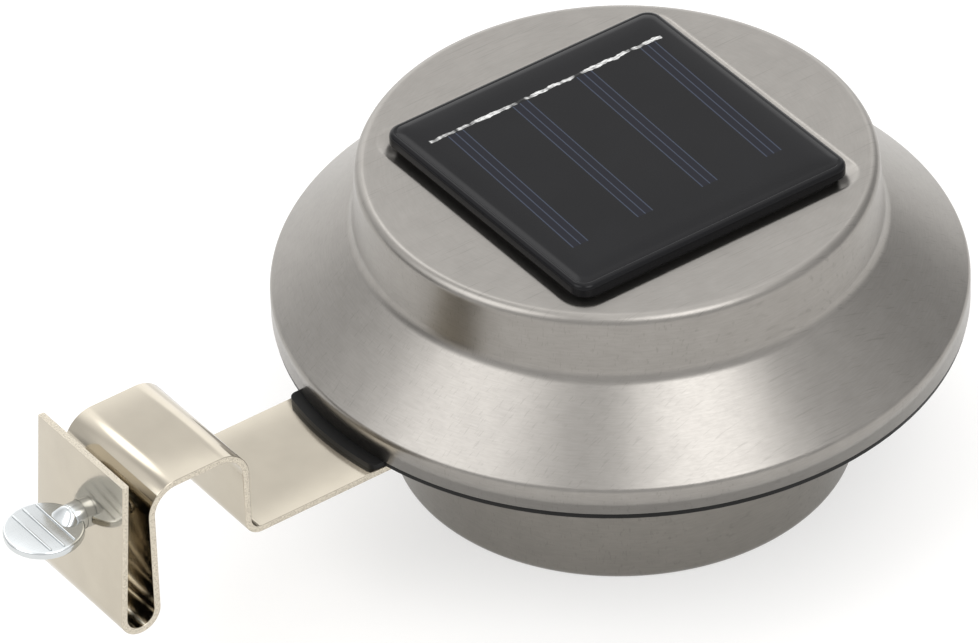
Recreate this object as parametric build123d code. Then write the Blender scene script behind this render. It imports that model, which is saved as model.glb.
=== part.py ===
from build123d import *
from math import cos, radians, sin, tan
import os

# A solar fence light. A pressed steel hat carries a square solar panel and closes a black
# base plate, and a steel cup under the plate holds three lights behind a clear lens. One
# bent steel strip is both the arm and the clamp that sits over a fence board or gutter edge.
# Frame: origin under the middle of the clamp's saddle, +X towards the lamp, +Z up.
# Every size is in millimetres.

# Clamp strip
strip_width = 24.0
strip_thickness = 1.2
saddle_gap = 17.0            # clear width under the saddle, for the board
saddle_rise = 16.0           # saddle's underside above the arm's top face
saddle_bend = 4.3            # inner radius of the saddle's two bends
arm_bend = 2.0               # inner radius where the wall turns out into the arm
fold_gap = 5.2               # clear gap between the two legs at the bottom of the spring fold
free_leg_lean = 4.0          # degrees that the free leg leans in over the fold
fold_depth = 26.1            # fold's lowest point below the saddle's underside
free_leg_rise = 5.6          # free leg's top edge above the saddle's underside
reach = 92.0                 # saddle's middle to the lamp's axis
arm_end_gap = 2.0            # arm's end to the lamp cup
tapped_collar_length = 1.2   # raised collar round the threaded hole, inside the fold
tapped_collar_wall = 1.1
strip_hole_clearance = 0.25  # arm screws in the strip

# Thumb screw and its swivel foot
screw_drop = 8.0             # screw's axis below the saddle's underside
screw_radius = 2.45
screw_pitch = 0.8            # the thread is left plain, but for the chamfer at its end
screw_bore_clearance = 0.25  # screw in the inner leg's plain hole
tip_reach = 4.0              # foot's face into the hollow of the saddle when screwed in
grip_radius = 6.6
grip_thickness = 1.4
grip_gap = 0.3               # grip's edge to the free leg
grip_edge_round = 0.42
neck_length = 2.0            # full round neck outside the free leg
neck_taper = 2.8             # from the round neck down to the flat grip
rib_count = 3
rib_pitch = 2.3
rib_width = 0.4
rib_height = 0.22
foot_radius = 2.25
foot_length = 2.5
foot_face = 0.6              # solid end of the foot, against the board
foot_chamfer = 0.5
spigot_radius = 1.3          # screw's turned-down end inside the foot

# Pressed steel hat
sheet = 0.6                  # hat and lamp cup
hat_radius = 57.5
lip_height = 4.5
lip_round = 1.3
neck_base_radius = 43.6
neck_base_height = 16.8      # where cone and neck meet, above the lip's lower edge
neck_fillet = 3.0
plateau_radius = 42.8
plateau_height = 28.1        # plateau above the lip's lower edge
plateau_round = 1.8
pocket_depth = 1.2
pocket_slope = 1.1           # how far the pocket's walls lean out
pocket_corner = 3.4
pocket_edge_round = 0.35

# Solar panel
panel_side = 52.5
panel_stand = 2.5            # panel's face above the plateau
panel_corner = 2.7
panel_edge_round = 0.8
panel_gap = 0.3              # panel to the foot of the pocket's walls
panel_seal_thickness = 0.5
panel_seal_width = 3.0
panel_border = 1.5           # black rim round the clear cover
window_corner = 1.6
panel_lead_hole_radius = 1.6
cover_thickness = 0.8
cell_count = 4
cell_length = 46.0
cell_pitch = 12.2
cell_gap = 0.5
cell_thickness = 0.35
ribbon_width = 1.0
ribbon_thickness = 0.15
ribbon_inset = 6.9           # ribbon's middle from the panel's far edge
ribbon_segment_gap = 0.8

# Black base plate
plate_thickness = 2.0
rim_thickness = 1.0          # edge that shows as a black line under the hat's lip
rim_inset = 0.2              # plate's edge inside the hat's outside
tab_reach = 2.1              # tab over the arm, past the hat's edge
tab_round = 1.5
tab_side_gap = 0.2           # tab's sides inside the arm's edges
upstand_height = 4.0
upstand_wall = 1.2
seal_thickness = 1.0         # rubber band between the upstand and the hat's lip
seal_height = 2.4
post_offset = 19.0           # hollow posts for the hat's screws, from the lamp's axis
post_radius = 4.2
post_web = 2.0               # web that the screw's head seats on
post_web_height = 16.0       # web's underside above the plate's top
boss_radius = 2.5            # panel's bosses, which reach down into the posts
boss_wall_clearance = 0.2
post_counterbore_gap = 0.25  # round the screws' heads
lead_hole_radius = 3.0       # holes for leads, in the plate and the pocket's floor

# Lamp cup, reflector and lens
cup_radius = 37.5
cup_height = 28.4
cup_top_flange = 6.5
cup_edge_round = 1.5
cup_top_round = 0.6          # inner radius where the cup turns in under the plate
cup_hem = 1.7                # inward turn at the cup's lower edge
reflector_clearance = 0.25   # reflector to the cup's hem
reflector_wall = 1.3
reflector_seat = 13.5        # flat middle of the reflector, round the lights
lens_thickness = 2.0
lens_recess = 1.0            # lens's face inside the cup's lower edge
lens_ledge = 1.0             # ledge that the lens seats on
lens_chamfer = 0.5
reflector_post_wall = 1.0
reflector_post_drop = 9.4    # how far the posts for the cup's screws reach below the seat's top
wall_overlap = 0.2           # how far walls of one moulding run into each other
light_board_radius = 13.0
board_thickness = 1.6
light_count = 3
light_circle = 6.5
light_first_angle = 30.0
light_radius = 2.5
light_flange_radius = 2.9
light_flange_height = 1.0
light_length = 8.6

# Self-tapping screws
hat_screw_radius = 1.2
hat_screw_length = 8.0
cup_screw_circle = 24.0
cup_screw_count = 3
cup_screw_radius = 1.4
cup_screw_length = 8.0
cup_boss_radius = 3.0
arm_screw_radius = 1.5
arm_screw_length = 8.0
arm_screw_spacing = 13.0
arm_screw_setback = 7.5      # arm screws from the arm's end
board_screw_radius = 1.0
board_screw_length = 4.5
head_ratio = 1.85            # a pan head's radius over its thread's
head_height_ratio = 1.0      # and its height
head_chamfer_ratio = 0.35
boss_end = 1.0               # solid end of a boss past its pilot hole
arm_boss_wall = 2.0

# Battery and its holder, inside the hat
cell_radius = 7.1
battery_length = 49.0
battery_chamfer = 0.6
battery_nub_radius = 2.6
battery_nub = 1.2
holder_floor = 1.0
holder_wall = 1.2
holder_wall_height = 8.0
holder_end = 2.0
contact_thickness = 0.4
contact_width = 8.0
contact_height = 12.0
contact_crown = 1.2          # how far a contact's spring leaf stands out
leaf_half_length = 4.0
leaf_width = 4.8

# Charge board
board_length = 28.0
board_depth = 20.0
board_from_battery = 3.5
standoff_radius = 2.0
standoff_height = 4.0
standoff_inset = 2.4
chip_side = 4.5
chip_height = 1.6
coil_radius = 2.6
coil_height = 3.2
capacitor_radius = 2.0
capacitor_height = 5.0
board_part_offset = 4.3      # chip, coil and capacitor from the board's middle

# Slide switch under the plate's edge, on the side away from the arm
switch_setback = 6.6         # switch's middle from the inside of the upstand
switch_length = 8.6
switch_depth = 4.4
switch_height = 4.0
switch_travel = 2.0
knob_length = 2.2
knob_width = 1.8
knob_stand = 1.4             # knob below the plate's underside
knob_foot = 1.0              # knob's wide foot inside the switch
knob_foot_margin = 0.5       # wide foot past the knob, all round
knob_chamfer = 0.3

# Fits
flat_fit = 0.05              # radial clearance of screws in their holes and of running fits
loose_fit = 0.25             # clearance holes and pieces dropped into pockets
overcut = 1.0                # how far a cutting body runs past the face that it cuts

# Levels and places worked out from the sizes above
arm_top = -saddle_rise
plate_bottom = arm_top
rim_top = plate_bottom + rim_thickness
plate_top = plate_bottom + plate_thickness
lip_bottom = rim_top
plateau_top = lip_bottom + plateau_height
pocket_floor = plateau_top - pocket_depth
panel_bottom = pocket_floor + panel_seal_thickness
panel_top = plateau_top + panel_stand
cup_bottom = plate_bottom - cup_height
hem_radius = cup_radius - sheet - cup_hem
reflector_radius = hem_radius - reflector_clearance
reflector_top = plate_bottom - sheet
lens_face = cup_bottom + lens_recess
lens_back = lens_face + lens_thickness
fold_radius = (fold_gap + strip_thickness) / 2   # the strip's middle line round the fold
fold_middle = -(saddle_gap / 2 + strip_thickness / 2 + fold_radius)
fold_middle_height = strip_thickness / 2 + fold_radius - fold_depth
lean_run = tan(radians(free_leg_lean))
free_leg_face = (fold_middle - (fold_radius + strip_thickness / 2) / cos(radians(free_leg_lean))
                 + (-screw_drop - fold_middle_height) * lean_run)   # on the screw's axis
web_bottom = plate_top + post_web_height
web_top = web_bottom + post_web
grip_centre = free_leg_face - grip_gap - grip_radius
foot_end = -saddle_gap / 2 + tip_reach
edge_radius = hat_radius - rim_inset
upstand_radius = hat_radius - sheet - seal_thickness - 2 * flat_fit
switch_circle = upstand_radius - upstand_wall - switch_setback
arm_end = reach - cup_radius - arm_end_gap
cup_screw_seat = plate_bottom - reflector_wall   # webs of the reflector's posts
board_low = plate_top + standoff_height
board_top = board_low + board_thickness
board_middle = -(cell_radius + loose_fit + holder_wall + board_from_battery + board_depth / 2)


# Shared forms
def at_lamp(shape):
    """Moves a shape modelled about the Z axis to the lamp's axis."""
    return Pos(reach, 0, 0) * shape


def disc(radius, low, high):
    return Pos(0, 0, low) * Cylinder(radius, high - low, align=(Align.CENTER, Align.CENTER, Align.MIN))


def ring(outer, inner, low, high):
    return disc(outer, low, high) - disc(inner, low, high)


def block(length, depth, low, high):
    return Pos(0, 0, low) * Box(length, depth, high - low, align=(Align.CENTER, Align.CENTER, Align.MIN))


def slab(side, corner, low, high):
    return Pos(0, 0, low) * extrude(RectangleRounded(side, side, corner), high - low)


def bar(radius, start, end):
    """A round bar along X from start to end."""
    return Pos(start, 0, 0) * Rot(0, 90, 0) * Cylinder(
        radius, end - start, align=(Align.CENTER, Align.CENTER, Align.MIN))


def corners(offset_x, offset_y):
    return [Pos(x, y, 0) for x in (-offset_x, offset_x) for y in (-offset_y, offset_y)]


def spokes(radius, count, first=0.0):
    return [Pos(radius * cos(radians(first + 360 * i / count)),
                radius * sin(radians(first + 360 * i / count)), 0) for i in range(count)]


def pan_screw(radius, length, head_low):
    """A pan-head screw, head down, its head's underside bearing upwards at head_low + height."""
    head_height = radius * head_height_ratio
    head = disc(radius * head_ratio, head_low - head_height, head_low)
    head = chamfer(head.edges().group_by(Axis.Z)[0], radius * head_chamfer_ratio)
    return head + disc(radius, head_low, head_low + length)


def parallel_line(points, distance):
    """The open line parallel to the given one, to the left of its run."""
    normals = []
    for start, end in zip(points, points[1:]):
        run = (Vector(*end) - Vector(*start)).normalized()
        normals.append(Vector(-run.Y, run.X))
    moved = [Vector(*points[0]) + normals[0] * distance]
    for corner, before, after in zip(points[1:], normals, normals[1:]):
        moved.append(Vector(*corner) + (before + after) * (distance / (1 + before.dot(after))))
    moved.append(Vector(*points[-1]) + normals[-1] * distance)
    return moved


def sheet_turn(points, bends, thickness):
    """Sheet metal turned about Z. The points, radius and height, follow the outer face; bends
    holds the outer face's radius at each corner, negative where the sheet is hollow."""
    outer = FilletPolyline(*points, radius=[abs(bend) for bend in bends])
    inner = FilletPolyline(*parallel_line(points, -thickness),
                           radius=[abs(bend - thickness) for bend in bends])
    face = make_face(Curve() + [outer, inner, Line(outer @ 0, inner @ 0), Line(outer @ 1, inner @ 1)])
    return revolve(Plane.XZ * face, Axis.Z, 360)


# Clamp
def bracket():
    half = strip_thickness / 2
    inner_leg = -saddle_gap / 2 - half
    lean = radians(free_leg_lean)
    fold_start = Vector(fold_middle - fold_radius * cos(lean), 0, fold_middle_height + fold_radius * sin(lean))
    top_height = free_leg_rise - half * sin(lean)
    with BuildLine(Plane.XZ) as route:
        free_leg = Line(fold_start + Vector(lean_run, 0, 1) * (top_height - fold_start.Z), fold_start)
        fold = JernArc(free_leg @ 1, free_leg % 1, fold_radius, 180 + free_leg_lean)
        leg = Line(fold @ 1, Vector(inner_leg, 0, -saddle_bend))
        rise = JernArc(leg @ 1, leg % 1, saddle_bend + half, -90)
        saddle = Line(rise @ 1, Vector(-inner_leg - saddle_bend - half, 0, half))
        drop = JernArc(saddle @ 1, saddle % 1, saddle_bend + half, -90)
        wall = Line(drop @ 1, Vector(-inner_leg, 0, arm_top + arm_bend))
        turn = JernArc(wall @ 1, wall % 1, arm_bend + half, 90)
        Line(turn @ 1, Vector(arm_end, 0, arm_top - half))
    section = Plane(route.line @ 0, x_dir=(0, 1, 0), z_dir=route.line % 0) * Rectangle(strip_width, strip_thickness)
    strip = sweep(section, route.line)
    axis = Pos(0, 0, -screw_drop)
    tapped = screw_radius + flat_fit
    collar_end = free_leg_face + strip_thickness + tapped_collar_length
    strip += axis * bar(tapped + tapped_collar_wall, free_leg_face + strip_thickness / 2, collar_end)
    strip -= axis * bar(tapped, free_leg_face - overcut, collar_end + overcut)
    strip -= axis * bar(screw_radius + screw_bore_clearance,
                        -saddle_gap / 2 - strip_thickness - overcut, -saddle_gap / 2 + overcut)
    for place in arm_screw_places():
        strip -= place * disc(arm_screw_radius + strip_hole_clearance,
                              arm_top - strip_thickness - overcut, arm_top + overcut)
    return strip


def arm_screw_places():
    return [Pos(arm_end - arm_screw_setback, side * arm_screw_spacing / 2, 0) for side in (-1, 1)]


def thumb_screw():
    axis = Pos(0, 0, -screw_drop)
    grip = Pos(grip_centre, 0, -grip_thickness / 2) * disc(grip_radius, 0, grip_thickness)
    grip = fillet(grip.edges(), grip_edge_round)
    for i in range(rib_count):
        offset = (i - (rib_count - 1) / 2) * rib_pitch
        chord = 2 * (grip_radius ** 2 - offset ** 2) ** 0.5 - grip_thickness
        for side in (-1, 1):
            middle = side * (grip_thickness / 2 + rib_height / 2)
            grip += Pos(grip_centre + offset, 0, middle) * Box(rib_width, chord, 2 * rib_height)
    neck_start = free_leg_face - neck_length
    shank_end = foot_end - foot_length - flat_fit
    taper = Pos(neck_start - neck_taper, 0, 0) * Rot(0, 90, 0) * Cone(
        grip_thickness / 2, screw_radius, neck_taper, align=(Align.CENTER, Align.CENTER, Align.MIN))
    shank = chamfer(bar(screw_radius, neck_start, shank_end).edges().group_by(Axis.X)[-1], screw_pitch / 2)
    spigot = bar(spigot_radius, shank_end, foot_end - foot_face - flat_fit)
    return axis * (grip + taper + shank + spigot)


def screw_foot():
    body = bar(foot_radius, foot_end - foot_length, foot_end)
    body = chamfer(body.edges().group_by(Axis.X)[-1], foot_chamfer)
    socket = bar(spigot_radius + flat_fit, foot_end - foot_length - overcut, foot_end - foot_face)
    return Pos(0, 0, -screw_drop) * (body - socket)


# Hat and solar panel
def top_cover():
    outline = [
        (0, plateau_top),
        (plateau_radius, plateau_top),
        (neck_base_radius, lip_bottom + neck_base_height),
        (hat_radius, lip_bottom + lip_height),
        (hat_radius, lip_bottom),
    ]
    hat = sheet_turn(outline, [plateau_round, -neck_fillet, lip_round], sheet)
    foot = panel_side + 2 * panel_gap
    mouth = foot + 2 * pocket_slope
    mouth_corner = pocket_corner + sheet
    pan = loft([
        Pos(0, 0, pocket_floor - sheet) * RectangleRounded(foot + 2 * sheet, foot + 2 * sheet, pocket_corner),
        Pos(0, 0, plateau_top) * RectangleRounded(mouth + 2 * sheet, mouth + 2 * sheet, mouth_corner)])
    pocket = loft([
        Pos(0, 0, pocket_floor) * RectangleRounded(foot, foot, pocket_corner),
        Pos(0, 0, plateau_top) * RectangleRounded(mouth, mouth, mouth_corner)])
    hat = hat + pan - pocket
    rim_edges = hat.edges().group_by(Axis.Z)[-1]
    mouth_edges = [edge for edge in rim_edges if edge.bounding_box().max.X < mouth
                   and (edge.geom_type != GeomType.CIRCLE or edge.radius < 2 * mouth_corner)]
    hat = fillet(mouth_edges, pocket_edge_round)
    floor_low = pocket_floor - sheet - overcut
    for place in corners(post_offset, post_offset):
        hat -= place * disc(boss_radius + loose_fit, floor_low, pocket_floor + overcut)
    hat -= disc(lead_hole_radius, floor_low, pocket_floor + overcut)
    return at_lamp(hat)


def panel_frame():
    body = slab(panel_side, panel_corner, panel_bottom, panel_top)
    body = fillet(body.edges().group_by(Axis.Z)[-1], panel_edge_round)
    window = panel_side - 2 * panel_border
    body -= slab(window, window_corner, panel_top - cover_thickness - cell_thickness, panel_top + overcut)
    for place in corners(post_offset, post_offset):
        boss = disc(boss_radius, web_top + boss_wall_clearance, panel_bottom)
        body += place * boss
        body -= place * disc(hat_screw_radius + flat_fit, web_top, web_bottom + hat_screw_length + boss_end)
    body -= disc(panel_lead_hole_radius, panel_bottom - overcut, panel_top)
    return at_lamp(body)


def panel_seal():
    seal = slab(panel_side, panel_corner, pocket_floor, panel_bottom)
    seal -= slab(panel_side - 2 * panel_seal_width, panel_corner, pocket_floor, panel_bottom)
    return at_lamp(seal)


def solar_cells():
    low = panel_top - cover_thickness - cell_thickness
    cells = []
    for i in range(cell_count):
        x = (i - (cell_count - 1) / 2) * cell_pitch
        cells.append(at_lamp(Pos(x, 0, 0) * block(cell_pitch - cell_gap, cell_length, low, low + cell_thickness)))
    return cells


def cell_ribbon():
    low = panel_top - cover_thickness
    y = panel_side / 2 - ribbon_inset
    length = cell_pitch - ribbon_segment_gap
    return [at_lamp(Pos((i - (cell_count - 1) / 2) * cell_pitch, y, 0)
                    * block(length, ribbon_width, low, low + ribbon_thickness)) for i in range(cell_count)]


def panel_cover():
    low = panel_top - cover_thickness
    side = panel_side - 2 * panel_border - 2 * flat_fit
    cover = slab(side, window_corner - flat_fit, low, panel_top)
    y = panel_side / 2 - ribbon_inset
    cover -= Pos(0, y, 0) * block(cell_pitch * cell_count, ribbon_width + 2 * flat_fit,
                                  low - overcut, low + ribbon_thickness + flat_fit)
    return at_lamp(cover)


# Base plate and what stands on it
def tab():
    """The plate's tab over the arm, out past the hat's edge."""
    outer = hat_radius + tab_reach
    inner = hat_radius - upstand_wall
    piece = ring(outer, inner, plate_bottom, rim_top) & Pos(-outer / 2, 0, 0) * block(
        outer, strip_width - 2 * tab_side_gap, plate_bottom, rim_top)
    ends = [edge for edge in piece.edges().filter_by(Axis.Z) if edge.center().X < -inner]
    ends = sorted(ends, key=lambda edge: -Vector(edge.center().X, edge.center().Y).length)[:2]
    return fillet(ends, tab_round)


def base_plate():
    plate = disc(edge_radius, plate_bottom, rim_top) + disc(upstand_radius, plate_bottom, plate_top)
    plate += ring(upstand_radius, upstand_radius - upstand_wall, plate_top, plate_top + upstand_height)
    plate += tab()
    posts = corners(post_offset, post_offset)
    cup_places = spokes(cup_screw_circle, cup_screw_count, 90)
    arm_places = [Pos(-reach, 0, 0) * place for place in arm_screw_places()]
    cup_pilot = cup_screw_seat + cup_screw_length + boss_end
    arm_pilot = arm_top - strip_thickness + arm_screw_length + boss_end
    for place in posts:
        plate += place * disc(post_radius, plate_top, pocket_floor - sheet)
    for place in cup_places:
        plate += place * disc(cup_boss_radius, plate_top, cup_pilot + boss_end)
    for place in arm_places:
        plate += place * disc(arm_screw_radius + arm_boss_wall, plate_top, arm_pilot + boss_end)
    for place in board_standoffs():
        plate += place * disc(standoff_radius, plate_top, plate_top + standoff_height)
    low = plate_bottom - overcut
    for place in posts:
        plate -= place * disc(hat_screw_radius * head_ratio + post_counterbore_gap, low, web_bottom)
        plate -= place * disc(hat_screw_radius + loose_fit, low, web_top + overcut)
        plate -= place * disc(boss_radius + loose_fit, web_top, plateau_top)
    for place in cup_places:
        plate -= place * disc(cup_screw_radius + flat_fit, low, cup_pilot)
    for place in arm_places:
        plate -= place * disc(arm_screw_radius + flat_fit, low, arm_pilot)
    for place in board_screw_places():
        plate -= place * disc(board_screw_radius + flat_fit, plate_top, plate_top + standoff_height + overcut)
    plate -= disc(lead_hole_radius, low, plate_top + overcut)
    slot = block(knob_width + 2 * loose_fit, knob_length + switch_travel + 2 * loose_fit, low, plate_top + overcut)
    return at_lamp(plate - Pos(switch_circle, 0, 0) * slot)


def rim_seal():
    outer = hat_radius - sheet - flat_fit
    return at_lamp(ring(outer, outer - seal_thickness, rim_top, rim_top + seal_height))


def board_standoffs():
    places = corners(board_length / 2 - standoff_inset, board_depth / 2 - standoff_inset)
    return [Pos(0, board_middle, 0) * place for place in places]


def board_screw_places():
    """Two standoffs, at opposite corners of the board."""
    return board_standoffs()[::3]


def circuit_board():
    board = Pos(0, board_middle, 0) * block(board_length, board_depth, board_low, board_top)
    for place in board_screw_places():
        board -= place * disc(board_screw_radius + loose_fit, board_low - overcut, board_top + overcut)
    return at_lamp(board)


def board_parts():
    """The charge chip, the coil and a capacitor on the board."""
    chip = Pos(-board_part_offset, 0, 0) * block(chip_side, chip_side, board_top, board_top + chip_height)
    coil = Pos(board_part_offset, board_part_offset, 0) * disc(coil_radius, board_top, board_top + coil_height)
    capacitor = Pos(board_part_offset, -board_part_offset, 0) * disc(
        capacitor_radius, board_top, board_top + capacitor_height)
    return [at_lamp(Pos(0, board_middle, 0) * piece) for piece in (chip, coil, capacitor)]


def board_screws():
    screw = Pos(0, 0, board_top) * Rot(180, 0, 0) * pan_screw(board_screw_radius, board_screw_length, 0)
    return [at_lamp(place * screw) for place in board_screw_places()]


def battery_holder():
    inside = battery_length + battery_nub + 2 * (contact_thickness + contact_crown)
    outside = inside + 2 * holder_end
    depth = 2 * (cell_radius + loose_fit + holder_wall)
    top = plate_top + holder_floor + 2 * cell_radius
    tray = block(outside, depth, plate_top, top)
    tray -= block(inside, depth - 2 * holder_wall, plate_top + holder_floor, top + overcut)
    tray -= block(inside, depth + overcut, plate_top + holder_floor + holder_wall_height, top + overcut)
    return at_lamp(tray)


def battery():
    axis = Pos(0, 0, plate_top + holder_floor + cell_radius)
    start = -(battery_length + battery_nub) / 2
    case = bar(cell_radius, start, start + battery_length)
    case = chamfer(case.edges().filter_by(GeomType.CIRCLE), battery_chamfer)
    nub = bar(battery_nub_radius, start + battery_length, start + battery_length + battery_nub)
    return at_lamp(axis * (case + nub))


def contact(side):
    """A flat contact in the holder's end with a spring leaf bowed towards the battery."""
    wall = (battery_length + battery_nub) / 2 + contact_crown + contact_thickness
    low = plate_top + holder_floor
    blade = Pos(wall - contact_thickness / 2, 0, 0) * block(
        contact_thickness, contact_width, low, low + contact_height)
    middle = low + cell_radius
    crown = contact_crown - flat_fit
    foot = leaf_half_length
    inner_foot = foot - contact_thickness * foot / crown
    bow = ThreePointArc((0, -foot), (-crown, 0), (0, foot))
    back = ThreePointArc((0, -inner_foot), (-crown + contact_thickness, 0), (0, inner_foot))
    face = make_face(Curve() + [bow, back, Line(bow @ 0, back @ 0), Line(bow @ 1, back @ 1)])
    leaf = extrude(Plane.XZ * face, leaf_width / 2, both=True)
    piece = blade + Pos(wall - contact_thickness, 0, middle) * leaf
    return at_lamp(piece if side > 0 else Rot(0, 0, 180) * piece)


def switch_body():
    body = block(switch_depth, switch_length, plate_top, plate_top + switch_height)
    body -= block(knob_width + 2 * (knob_foot_margin + loose_fit),
                  knob_length + switch_travel + 2 * (knob_foot_margin + loose_fit),
                  plate_top - overcut, plate_top + knob_foot + flat_fit)
    return at_lamp(Pos(switch_circle, 0, 0) * body)


def switch_slider():
    knob = block(knob_width, knob_length, plate_bottom - knob_stand, plate_top + knob_foot)
    knob = chamfer(knob.edges().group_by(Axis.Z)[0], knob_chamfer)
    knob += block(knob_width + 2 * knob_foot_margin, knob_length + 2 * knob_foot_margin,
                  plate_top + flat_fit, plate_top + knob_foot)
    return at_lamp(Pos(switch_circle, -switch_travel / 2, 0) * knob)


# Lamp cup
def lamp_ring():
    outline = [
        (cup_radius - cup_top_flange, plate_bottom),
        (cup_radius, plate_bottom),
        (cup_radius, cup_bottom),
        (hem_radius, cup_bottom),
    ]
    return at_lamp(sheet_turn(outline, [sheet + cup_top_round, cup_edge_round], sheet))


def reflector():
    seat_top = plate_bottom - board_thickness - light_flange_height - flat_fit
    skirt_inner = reflector_radius - reflector_wall
    mouth = skirt_inner + wall_overlap
    mouth_low = lens_back + wall_overlap
    cone = Polyline((reflector_seat, seat_top), (mouth, mouth_low + reflector_wall), (mouth, mouth_low),
                    (reflector_seat, seat_top - reflector_wall), close=True)
    body = ring(reflector_radius, skirt_inner, lens_face, reflector_top)
    body += revolve(Plane.XZ * make_face(cone), Axis.Z, 360)
    body += ring(mouth, skirt_inner - lens_ledge, lens_back, mouth_low + reflector_wall)
    body += disc(reflector_seat + wall_overlap, seat_top - reflector_wall, seat_top)
    head_bore = cup_screw_radius * head_ratio + loose_fit
    screw_places = spokes(cup_screw_circle, cup_screw_count, 90)
    for place in screw_places:
        body += place * disc(head_bore + reflector_post_wall, seat_top - reflector_post_drop, plate_bottom)
    for place in screw_places:
        body -= place * disc(head_bore, lens_face, cup_screw_seat)
        body -= place * disc(cup_screw_radius + loose_fit, lens_face, plate_bottom + overcut)
    for place in light_places():
        body -= place * disc(light_radius + flat_fit, seat_top - reflector_wall - overcut, seat_top + overcut)
    return at_lamp(body)


def lens():
    body = disc(reflector_radius - reflector_wall - flat_fit, lens_face, lens_back)
    return at_lamp(chamfer(body.edges().group_by(Axis.Z)[0], lens_chamfer))


def light_board():
    return at_lamp(disc(light_board_radius, plate_bottom - board_thickness, plate_bottom))


def light_places():
    return spokes(light_circle, light_count, light_first_angle)


def light(place):
    top = plate_bottom - board_thickness
    low = top - light_length
    body = disc(light_radius, low + light_radius, top) + Pos(0, 0, low + light_radius) * Sphere(light_radius)
    flange = disc(light_flange_radius, top - light_flange_height, top)
    return at_lamp(place * (body + flange))


# Screws
def hat_screws():
    return [at_lamp(place * pan_screw(hat_screw_radius, hat_screw_length, web_bottom))
            for place in corners(post_offset, post_offset)]


def cup_screws():
    return [at_lamp(place * pan_screw(cup_screw_radius, cup_screw_length, cup_screw_seat))
            for place in spokes(cup_screw_circle, cup_screw_count, 90)]


def arm_screws():
    return [place * pan_screw(arm_screw_radius, arm_screw_length, arm_top - strip_thickness)
            for place in arm_screw_places()]


nodes = {
    "bracket": bracket(),
    "thumb_screw": thumb_screw(),
    "screw_foot": screw_foot(),
    "top_cover": top_cover(),
    "panel_frame": panel_frame(),
    "panel_seal": panel_seal(),
    "solar_cells": Compound(children=solar_cells()),
    "cell_ribbon": Compound(children=cell_ribbon()),
    "panel_cover": panel_cover(),
    "base_plate": base_plate(),
    "rim_seal": rim_seal(),
    "circuit_board": circuit_board(),
    "board_parts": Compound(children=board_parts()),
    "board_screws": Compound(children=board_screws()),
    "battery_holder": battery_holder(),
    "battery": battery(),
    "contact_plus": contact(1),
    "contact_minus": contact(-1),
    "switch_body": switch_body(),
    "switch_slider": switch_slider(),
    "lamp_ring": lamp_ring(),
    "reflector": reflector(),
    "lens": lens(),
    "light_board": light_board(),
    "hat_screws": Compound(children=hat_screws()),
    "cup_screws": Compound(children=cup_screws()),
    "arm_screws": Compound(children=arm_screws()),
}
for number, place in enumerate(light_places(), 1):
    nodes[f"light_{number}"] = light(place)

os.makedirs("parts", exist_ok=True)
for name, shape in nodes.items():
    export_step(shape, f"parts/{name}.step")
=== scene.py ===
"""Dresses a solar fence light: a pressed steel hat with a square solar panel, a steel lamp cup
under it, and a bent strip that is both arm and clamp, with a thumb screw.

Everything lies in the CAD model's frame, in metres: origin under the middle of the clamp's
saddle, +X towards the lamp, +Z up.
"""
from math import atan2, cos, pi, radians, sin, sqrt, tan

import bmesh
import bpy
from bpy.props import FloatProperty, FloatVectorProperty, IntProperty, PointerProperty
from mathutils import Matrix, Vector


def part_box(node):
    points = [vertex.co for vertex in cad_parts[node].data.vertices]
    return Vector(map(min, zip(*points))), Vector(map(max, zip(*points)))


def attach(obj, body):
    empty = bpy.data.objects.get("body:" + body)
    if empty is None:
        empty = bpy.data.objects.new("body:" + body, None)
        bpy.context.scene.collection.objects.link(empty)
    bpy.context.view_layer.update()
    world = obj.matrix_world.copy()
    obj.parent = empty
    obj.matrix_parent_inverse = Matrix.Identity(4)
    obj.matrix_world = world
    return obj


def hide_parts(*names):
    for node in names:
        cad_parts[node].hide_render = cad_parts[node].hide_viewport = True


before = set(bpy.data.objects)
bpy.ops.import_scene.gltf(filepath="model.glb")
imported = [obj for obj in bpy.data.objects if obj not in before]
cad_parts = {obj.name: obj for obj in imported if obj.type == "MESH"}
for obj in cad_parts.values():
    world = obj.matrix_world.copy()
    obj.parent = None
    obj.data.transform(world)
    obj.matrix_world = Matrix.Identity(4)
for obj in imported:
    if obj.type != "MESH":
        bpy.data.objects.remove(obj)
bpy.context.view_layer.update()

bl_info = {
    "name": "Fence light",
    "version": (1, 0, 0),
    "blender": (4, 5, 0),
    "location": "3D View > Sidebar > Fence light",
    "description": "Builds the pieces and finishes of a solar fence light round its CAD frame",
    "category": "Object",
}

# Places read from the CAD model
HAT_LOW, HAT_HIGH = (Vector(corner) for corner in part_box("top_cover"))
PANEL_LOW, PANEL_HIGH = (Vector(corner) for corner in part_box("panel_frame"))
CUP_LOW, CUP_HIGH = (Vector(corner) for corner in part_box("lamp_ring"))
STRIP_LOW, STRIP_HIGH = (Vector(corner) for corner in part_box("bracket"))
SCREW_LOW, SCREW_HIGH = (Vector(corner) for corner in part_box("thumb_screw"))
FOOT_LOW, FOOT_HIGH = (Vector(corner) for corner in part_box("screw_foot"))
LAMP_AXIS = (HAT_LOW.x + HAT_HIGH.x) / 2
SCREW_AXIS = (SCREW_LOW.z + SCREW_HIGH.z) / 2

# Points and levels nearer to each other than these are one
SAME_POINT = 1e-7
SAME_LEVEL = 1e-5
WELD_REACH = 2e-6   # seams of the CAD meshes

# Edges bent further than these stay sharp
SHARP = radians(35)
CAD_SHARP = radians(32)


def length(name, millimetres, description):
    return FloatProperty(name=name, description=description, default=millimetres / 1000,
                         min=0.0, unit="LENGTH", precision=5)


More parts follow.
